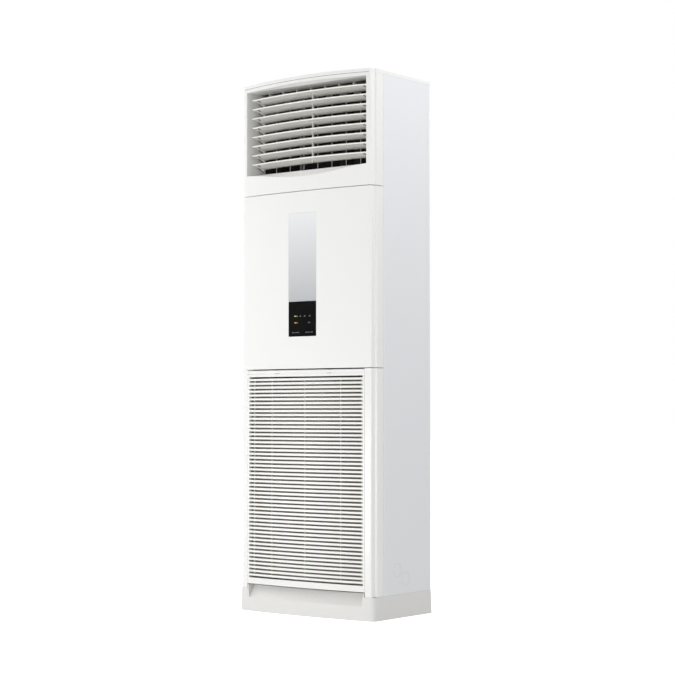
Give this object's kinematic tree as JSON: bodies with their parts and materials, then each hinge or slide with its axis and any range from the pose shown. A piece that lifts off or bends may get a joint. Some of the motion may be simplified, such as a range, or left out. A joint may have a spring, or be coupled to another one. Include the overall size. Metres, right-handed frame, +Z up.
{
  "type": "floor standing air conditioner indoor unit",
  "caption": "Tall floor standing air conditioner with a bowed front, coupled louvers above, a hinged slotted intake grille below and a blower, coil and linkages inside.",
  "frame": {"origin": "on the floor under the centre of the body's box", "axes": "+Z up, -Y towards the bowed front with the grille and louvers, +X to the right seen from the front"},
  "size_m": [0.6, 0.359, 1.88],
  "materials": {
    "cabinet_paint": "satin powder coat, cool white",
    "panel_white": "smooth moulded plastic, white",
    "foot_white": "fine texture, warm white",
    "grille_white": "smooth moulded plastic, white",
    "louver_white": "smooth moulded plastic, warm white",
    "silver_strip": "fine satin",
    "black_window": "clear coated, near black",
    "circuit_green": "printed board with components",
    "duct_black": "dark grey moulded duct",
    "vane_grey": "dark grey moulded vane",
    "mechanism_white": "self-coloured link plastic",
    "filter_grey": "dark moulded frame",
    "net_dark": "woven net",
    "zinc_sheet": "galvanised sheet",
    "fin_aluminium": "thin bright fins",
    "copper": "bright copper tube",
    "nut_brass": "machined brass",
    "steel_shaft": "ground steel",
    "motor_black": "black enamelled housing",
    "pan_foam": "moulded tray",
    "control_black": "moulded terminal body"
  },
  "bodies": {
    "cabinet": {"base_pan": "zinc_sheet", "base_skirt": "foot_white", "side_panel_left": "cabinet_paint", "side_panel_right": "cabinet_paint", "rear_panel": "zinc_sheet", "top_cover": "panel_white", "discharge_bezel": "panel_white", "front_panel": "panel_white", "display_plate": "silver_strip", "display_window": "black_window", "display_board": "circuit_green", "lower_front_frame": "panel_white", "hinge_brackets": "mechanism_white", "grille_catches": "mechanism_white", "swing_motor": "zinc_sheet", "outlet_duct": "duct_black", "evaporator_fins": "fin_aluminium", "evaporator_plates": "zinc_sheet", "evaporator_bends": "copper", "drain_pan": "pan_foam", "drain_pipe": "mechanism_white", "fan_deck": "zinc_sheet", "scroll_casing": "zinc_sheet", "inlet_plate": "zinc_sheet", "fan_motor": "motor_black", "motor_bracket": "zinc_sheet", "control_box": "zinc_sheet", "control_box_cover": "zinc_sheet", "terminal_block": "control_black", "run_capacitor": "zinc_sheet", "control_board": "circuit_green", "gas_pipe": "copper", "liquid_pipe": "copper", "flare_nuts": "nut_brass", "wall_bracket": "zinc_sheet", "cabinet_screws": "steel_shaft"},
    "louver_1": {"louver_1": "louver_white"},
    "louver_2": {"louver_2": "louver_white"},
    "louver_3": {"louver_3": "louver_white"},
    "louver_4": {"louver_4": "louver_white"},
    "louver_5": {"louver_5": "louver_white"},
    "louver_6": {"louver_6": "louver_white"},
    "louver_7": {"louver_7": "louver_white"},
    "louver_8": {"louver_8": "louver_white"},
    "louver_link": {"louver_link": "mechanism_white"},
    "vane_1": {"vane_1": "vane_grey"},
    "vane_2": {"vane_2": "vane_grey"},
    "vane_3": {"vane_3": "vane_grey"},
    "vane_4": {"vane_4": "vane_grey"},
    "vane_5": {"vane_5": "vane_grey"},
    "vane_6": {"vane_6": "vane_grey"},
    "vane_7": {"vane_7": "vane_grey"},
    "vane_8": {"vane_8": "vane_grey"},
    "vane_link": {"vane_link": "mechanism_white"},
    "swing_crank": {"swing_crank": "mechanism_white"},
    "blower": {"blower_wheel": "zinc_sheet", "motor_shaft": "steel_shaft"},
    "grille": {"intake_grille": "grille_white"},
    "filter": {"filter_frame": "filter_grey", "filter_net": "net_dark"}
  },
  "joints": [
    {"name": "louver_1_tilt", "type": "hinge", "parent": "cabinet", "child": "louver_1", "pos_m": [0, -0.082, 1.8145], "axis": [1, 0, 0], "range_deg": [-15, 30]},
    {"name": "louver_2_tilt", "type": "hinge", "parent": "cabinet", "child": "louver_2", "pos_m": [0, -0.082, 1.7811], "axis": [1, 0, 0], "range_deg": [-15, 30]},
    {"name": "louver_3_tilt", "type": "hinge", "parent": "cabinet", "child": "louver_3", "pos_m": [0, -0.082, 1.7477], "axis": [1, 0, 0], "range_deg": [-15, 30]},
    {"name": "louver_4_tilt", "type": "hinge", "parent": "cabinet", "child": "louver_4", "pos_m": [0, -0.082, 1.7143], "axis": [1, 0, 0], "range_deg": [-15, 30]},
    {"name": "louver_5_tilt", "type": "hinge", "parent": "cabinet", "child": "louver_5", "pos_m": [0, -0.082, 1.6809], "axis": [1, 0, 0], "range_deg": [-15, 30]},
    {"name": "louver_6_tilt", "type": "hinge", "parent": "cabinet", "child": "louver_6", "pos_m": [0, -0.082, 1.6475], "axis": [1, 0, 0], "range_deg": [-15, 30]},
    {"name": "louver_7_tilt", "type": "hinge", "parent": "cabinet", "child": "louver_7", "pos_m": [0, -0.082, 1.6141], "axis": [1, 0, 0], "range_deg": [-15, 30]},
    {"name": "louver_8_tilt", "type": "hinge", "parent": "cabinet", "child": "louver_8", "pos_m": [0, -0.082, 1.5807], "axis": [1, 0, 0], "range_deg": [-15, 30]},
    {"name": "louver_link_turn", "type": "hinge", "parent": "louver_1", "child": "louver_link", "pos_m": [0, -0.11647, 1.82058], "axis": [1, 0, 0], "range_deg": [-30, 15]},
    {"name": "vane_1_swing", "type": "hinge", "parent": "cabinet", "child": "vane_1", "pos_m": [-0.224, -0.028, 1.6995], "axis": [0, 0, 1], "range_deg": [-40, 40]},
    {"name": "vane_2_swing", "type": "hinge", "parent": "cabinet", "child": "vane_2", "pos_m": [-0.16, -0.028, 1.6995], "axis": [0, 0, 1], "range_deg": [-40, 40]},
    {"name": "vane_3_swing", "type": "hinge", "parent": "cabinet", "child": "vane_3", "pos_m": [-0.096, -0.028, 1.6995], "axis": [0, 0, 1], "range_deg": [-40, 40]},
    {"name": "vane_4_swing", "type": "hinge", "parent": "cabinet", "child": "vane_4", "pos_m": [-0.032, -0.028, 1.6995], "axis": [0, 0, 1], "range_deg": [-40, 40]},
    {"name": "vane_5_swing", "type": "hinge", "parent": "cabinet", "child": "vane_5", "pos_m": [0.032, -0.028, 1.6995], "axis": [0, 0, 1], "range_deg": [-40, 40]},
    {"name": "vane_6_swing", "type": "hinge", "parent": "cabinet", "child": "vane_6", "pos_m": [0.096, -0.028, 1.6995], "axis": [0, 0, 1], "range_deg": [-40, 40]},
    {"name": "vane_7_swing", "type": "hinge", "parent": "cabinet", "child": "vane_7", "pos_m": [0.16, -0.028, 1.6995], "axis": [0, 0, 1], "range_deg": [-40, 40]},
    {"name": "vane_8_swing", "type": "hinge", "parent": "cabinet", "child": "vane_8", "pos_m": [0.224, -0.028, 1.6995], "axis": [0, 0, 1], "range_deg": [-40, 40]},
    {"name": "vane_link_turn", "type": "hinge", "parent": "vane_1", "child": "vane_link", "pos_m": [-0.224, -0.012, 1.566], "axis": [0, 0, 1], "range_deg": [-40, 40]},
    {"name": "swing_crank_turn", "type": "hinge", "parent": "cabinet", "child": "swing_crank", "pos_m": [0.25, -0.028, 1.5625], "axis": [0, 0, 1], "range_deg": [-40, 40]},
    {"name": "blower_spin", "type": "hinge", "parent": "cabinet", "child": "blower", "pos_m": [0, 0, 0.43], "axis": [0, 1, 0], "continuous": true},
    {"name": "grille_swing", "type": "hinge", "parent": "cabinet", "child": "grille", "pos_m": [0, -0.1665, 0.84], "axis": [-1, 0, 0], "range_deg": [0, 45]},
    {"name": "filter_slide", "type": "slide", "parent": "grille", "child": "filter", "axis": [0, 1, 0], "range_m": [0, 0.018]}
  ],
  "couplings": [
    {"joint": "louver_2_tilt", "follows": "louver_1_tilt", "ratio": 1},
    {"joint": "louver_3_tilt", "follows": "louver_1_tilt", "ratio": 1},
    {"joint": "louver_4_tilt", "follows": "louver_1_tilt", "ratio": 1},
    {"joint": "louver_5_tilt", "follows": "louver_1_tilt", "ratio": 1},
    {"joint": "louver_6_tilt", "follows": "louver_1_tilt", "ratio": 1},
    {"joint": "louver_7_tilt", "follows": "louver_1_tilt", "ratio": 1},
    {"joint": "louver_8_tilt", "follows": "louver_1_tilt", "ratio": 1},
    {"joint": "louver_link_turn", "follows": "louver_1_tilt", "ratio": -1},
    {"joint": "vane_2_swing", "follows": "vane_1_swing", "ratio": 1},
    {"joint": "vane_3_swing", "follows": "vane_1_swing", "ratio": 1},
    {"joint": "vane_4_swing", "follows": "vane_1_swing", "ratio": 1},
    {"joint": "vane_5_swing", "follows": "vane_1_swing", "ratio": 1},
    {"joint": "vane_6_swing", "follows": "vane_1_swing", "ratio": 1},
    {"joint": "vane_7_swing", "follows": "vane_1_swing", "ratio": 1},
    {"joint": "vane_8_swing", "follows": "vane_1_swing", "ratio": 1},
    {"joint": "vane_link_turn", "follows": "vane_1_swing", "ratio": -1},
    {"joint": "swing_crank_turn", "follows": "vane_1_swing", "ratio": 1}
  ]
}
